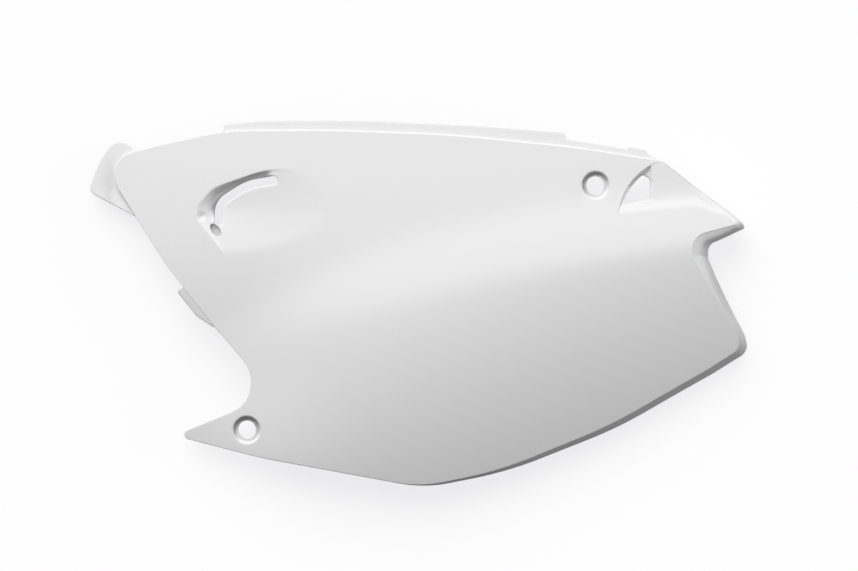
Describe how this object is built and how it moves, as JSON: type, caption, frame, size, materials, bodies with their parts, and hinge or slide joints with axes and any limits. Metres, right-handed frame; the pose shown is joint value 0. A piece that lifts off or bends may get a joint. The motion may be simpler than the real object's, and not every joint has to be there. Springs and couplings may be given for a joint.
{
  "type": "motorbike side panel",
  "caption": "White moulded side panel for a motocross bike, with a ridged skin, a curved front vent slot, a rear finger hole and cupped bolt holes.",
  "frame": {"origin": "on the axis of the front bolt hole, at its seat", "axes": "+X to the rear of the bike, along the panel's length; +Y up the bike; +Z out of the panel, along the bolt holes"},
  "size_m": [0.442, 0.2446, 0.0475],
  "materials": {
    "panel_plastic": "satin white moulded polypropylene"
  },
  "bodies": {
    "root": {"side_panel": "panel_plastic"}
  },
  "joints": []
}
